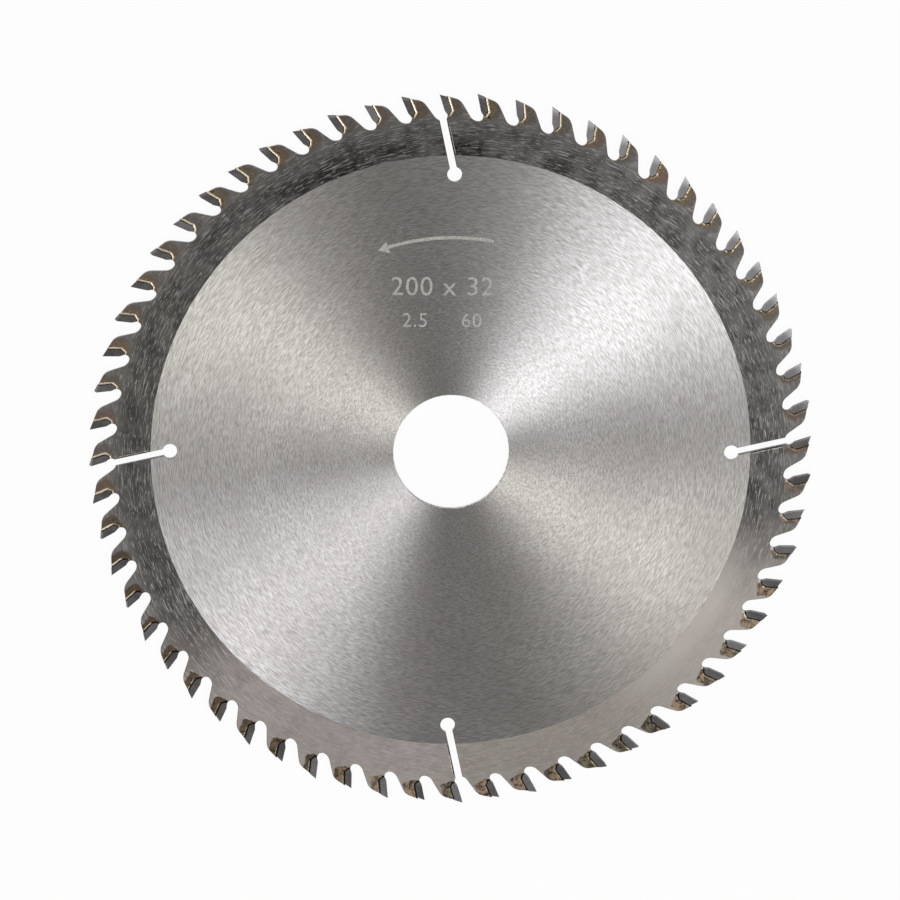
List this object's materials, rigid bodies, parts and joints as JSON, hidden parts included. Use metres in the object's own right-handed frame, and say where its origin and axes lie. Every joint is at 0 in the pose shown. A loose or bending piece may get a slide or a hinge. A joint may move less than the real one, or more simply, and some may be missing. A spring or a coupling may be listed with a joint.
{
  "type": "circular saw blade",
  "caption": "Flat circular saw blade with a central arbor bore, leaning expansion slots and a rim of brazed carbide tips ground with alternate bevels.",
  "frame": {"origin": "middle of the arbor bore, half way through the steel body", "axes": "+Z along the bore, out of the front face, from which the blade cuts anticlockwise; the middles of the expansion slots' round holes lie on the X and Y axes"},
  "size_m": [0.1998, 0.1998, 0.0024],
  "materials": {
    "steel": "ground bright in the middle, dark scale and heat tints on the rim",
    "carbide": "matt ground",
    "braze": "bright silver solder"
  },
  "bodies": {
    "root": {"blade_body": "steel", "braze_joints_01_to_03": "braze", "braze_joints_04_to_06": "braze", "braze_joints_07_to_09": "braze", "braze_joints_10_to_12": "braze", "braze_joints_13_to_15": "braze", "braze_joints_16_to_18": "braze", "braze_joints_19_to_21": "braze", "braze_joints_22_to_24": "braze", "braze_joints_25_to_27": "braze", "braze_joints_28_to_30": "braze", "braze_joints_31_to_33": "braze", "braze_joints_34_to_36": "braze", "braze_joints_37_to_39": "braze", "braze_joints_40_to_42": "braze", "braze_joints_43_to_45": "braze", "braze_joints_46_to_48": "braze", "braze_joints_49_to_51": "braze", "braze_joints_52_to_54": "braze", "braze_joints_55_to_57": "braze", "braze_joints_58_to_60": "braze", "carbide_tips_01_to_02": "carbide", "carbide_tips_03_to_04": "carbide", "carbide_tips_05_to_06": "carbide", "carbide_tips_07_to_08": "carbide", "carbide_tips_09_to_10": "carbide", "carbide_tips_11_to_12": "carbide", "carbide_tips_13_to_14": "carbide", "carbide_tips_15_to_16": "carbide", "carbide_tips_17_to_18": "carbide", "carbide_tips_19_to_20": "carbide", "carbide_tips_21_to_22": "carbide", "carbide_tips_23_to_24": "carbide", "carbide_tips_25_to_26": "carbide", "carbide_tips_27_to_28": "carbide", "carbide_tips_29_to_30": "carbide", "carbide_tips_31_to_32": "carbide", "carbide_tips_33_to_34": "carbide", "carbide_tips_35_to_36": "carbide", "carbide_tips_37_to_38": "carbide", "carbide_tips_39_to_40": "carbide", "carbide_tips_41_to_42": "carbide", "carbide_tips_43_to_44": "carbide", "carbide_tips_45_to_46": "carbide", "carbide_tips_47_to_48": "carbide", "carbide_tips_49_to_50": "carbide", "carbide_tips_51_to_52": "carbide", "carbide_tips_53_to_54": "carbide", "carbide_tips_55_to_56": "carbide", "carbide_tips_57_to_58": "carbide", "carbide_tips_59_to_60": "carbide"}
  },
  "joints": []
}
